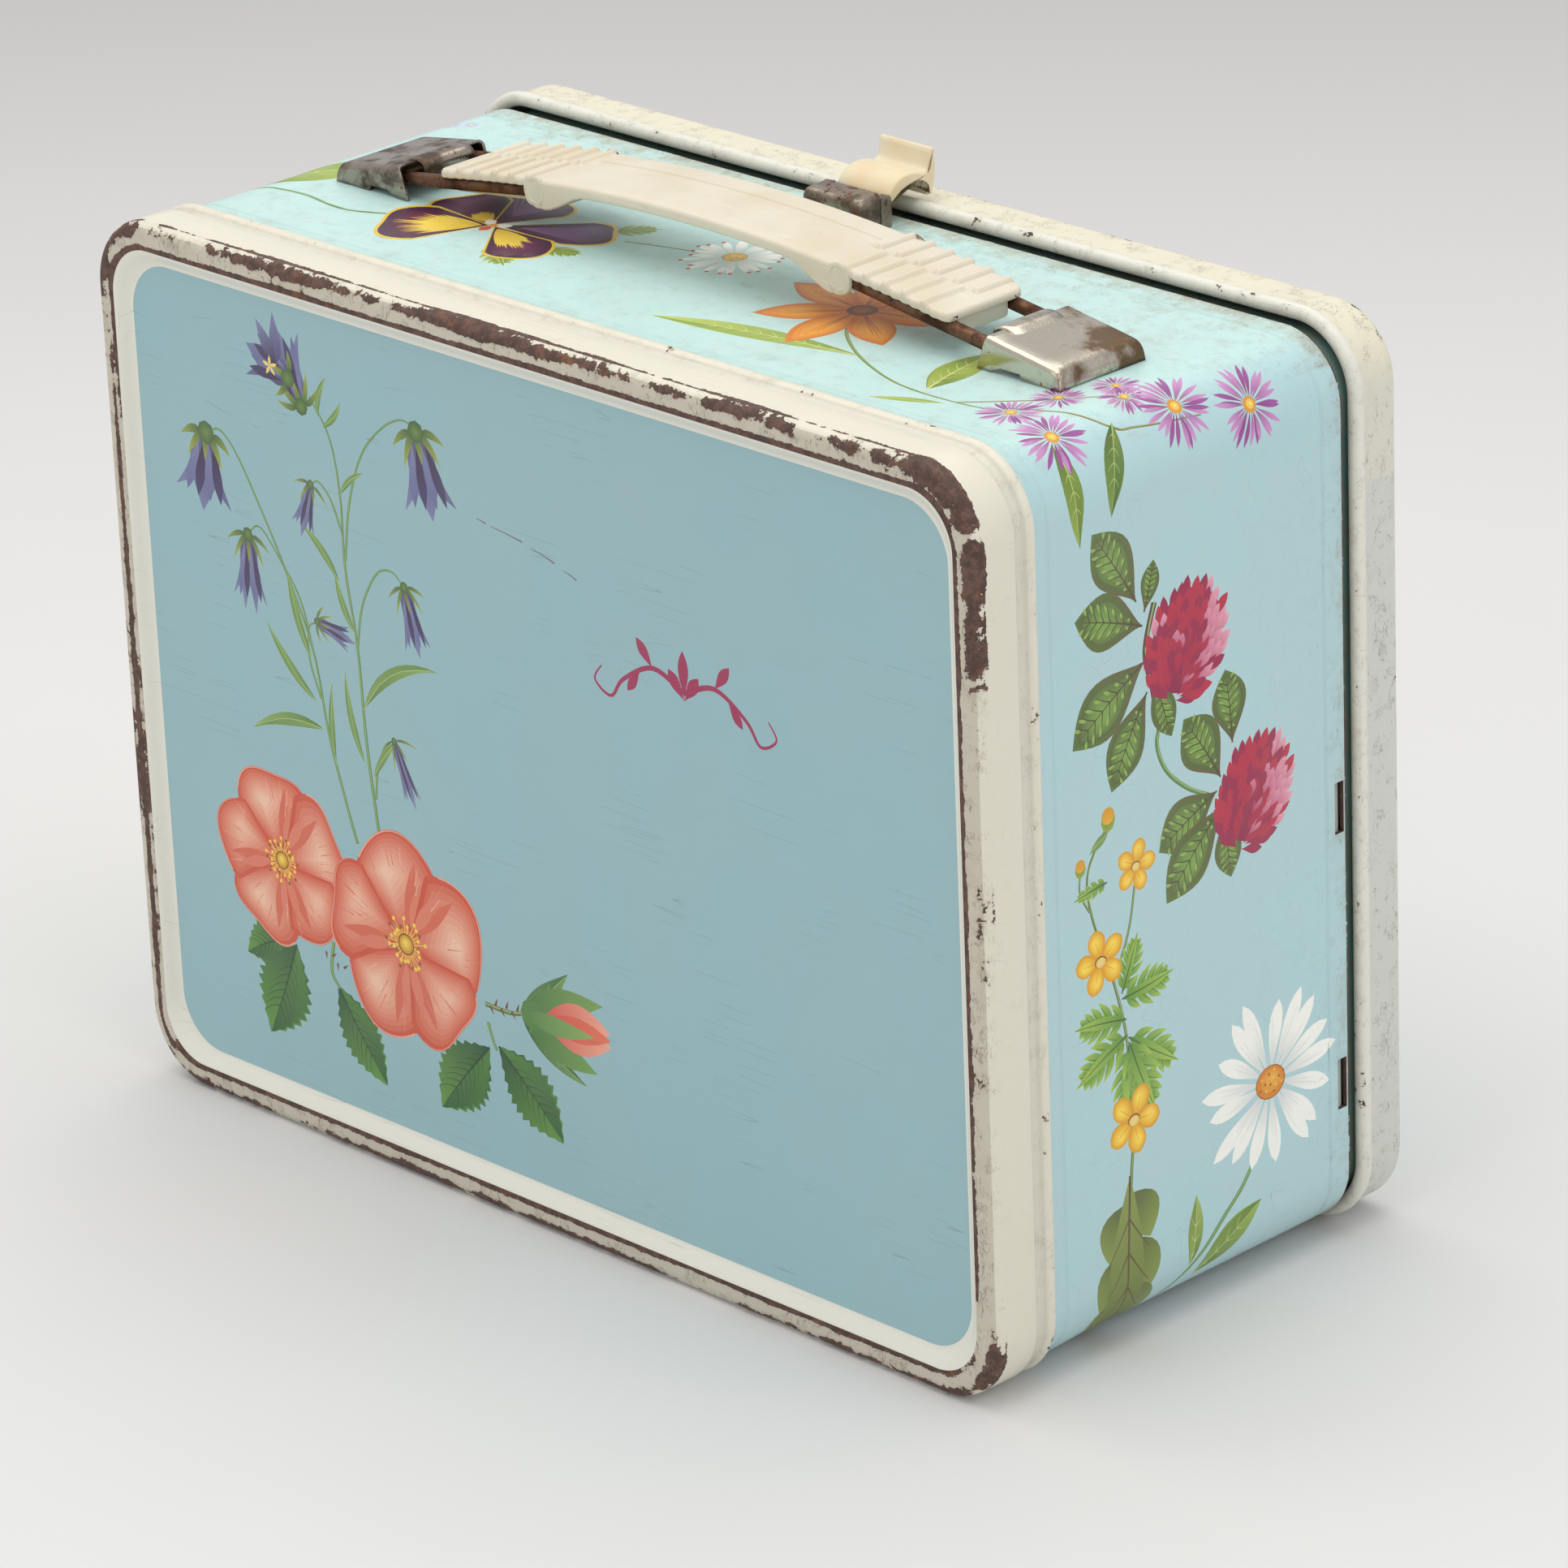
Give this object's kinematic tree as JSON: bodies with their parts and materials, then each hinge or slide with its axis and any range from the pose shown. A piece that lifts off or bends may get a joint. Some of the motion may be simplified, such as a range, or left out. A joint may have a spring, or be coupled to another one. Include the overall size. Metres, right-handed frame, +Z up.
{
  "type": "metal lunch box",
  "caption": "Flat steel lunch box with a drawn front cap, a rolled band, a hinged lid, a lever latch, a sliding carrying handle and a wire bottle bail inside.",
  "frame": {"origin": "centre of the footprint, on the surface that the box stands on", "axes": "+X to the right seen from the front, +Y back toward the lid, +Z up toward the handle"},
  "size_m": [0.22, 0.106, 0.1822],
  "materials": {
    "cap_paint": "satin",
    "band_paint": "satin",
    "lid_paint": "satin",
    "clip_metal": "worn",
    "bracket_metal": "rusty",
    "hinge_metal": "worn",
    "pin_metal": "worn",
    "latch_plastic": "satin",
    "grip_plastic": "satin",
    "wire": "rusty"
  },
  "bodies": {
    "box": {"front_panel": "cap_paint", "body_band": "band_paint", "handle_clip_left": "clip_metal", "handle_clip_right": "clip_metal", "latch_bracket": "bracket_metal", "latch_pin": "pin_metal", "hinge_leaf_body_left": "hinge_metal", "hinge_leaf_body_right": "hinge_metal", "hinge_pin_left": "pin_metal", "hinge_pin_right": "pin_metal", "body_rivets": "pin_metal"},
    "lid": {"lid_shell": "lid_paint", "hinge_leaf_lid_left": "hinge_metal", "hinge_leaf_lid_right": "hinge_metal", "lid_rivets": "pin_metal"},
    "latch": {"latch_lever": "latch_plastic"},
    "grip": {"handle_grip": "grip_plastic"},
    "link_left": {"handle_link_left": "wire"},
    "link_right": {"handle_link_right": "wire"},
    "bail": {"bottle_bail": "wire"}
  },
  "joints": [
    {"name": "lid_hinge", "type": "hinge", "parent": "box", "child": "lid", "pos_m": [0, 0.0414, 0.0015], "axis": [-1, 0, 0], "range_deg": [0, 75]},
    {"name": "latch_pivot", "type": "hinge", "parent": "box", "child": "latch", "pos_m": [0, 0.033, 0.1731], "axis": [1, 0, 0], "range_deg": [-6, 70]},
    {"name": "handle_lift", "type": "slide", "parent": "box", "child": "grip", "axis": [0, 0, 1], "range_m": [0, 0.017]},
    {"name": "link_left_pivot", "type": "hinge", "parent": "grip", "child": "link_left", "pos_m": [-0.0378, -0.0007, 0.1769], "axis": [0, -1, 0], "range_deg": [0, 26]},
    {"name": "link_right_pivot", "type": "hinge", "parent": "grip", "child": "link_right", "pos_m": [0.0378, -0.0007, 0.1769], "axis": [0, 1, 0], "range_deg": [0, 26]},
    {"name": "bail_swing", "type": "hinge", "parent": "box", "child": "bail", "pos_m": [0.1034, 0.0354, 0.057], "axis": [0, 0, 1], "range_deg": [0, 90]}
  ],
  "couplings": [
    {"joint": "link_left_pivot", "follows": "handle_lift", "rad_per_m": 25.2},
    {"joint": "link_right_pivot", "follows": "handle_lift", "rad_per_m": 25.2}
  ]
}
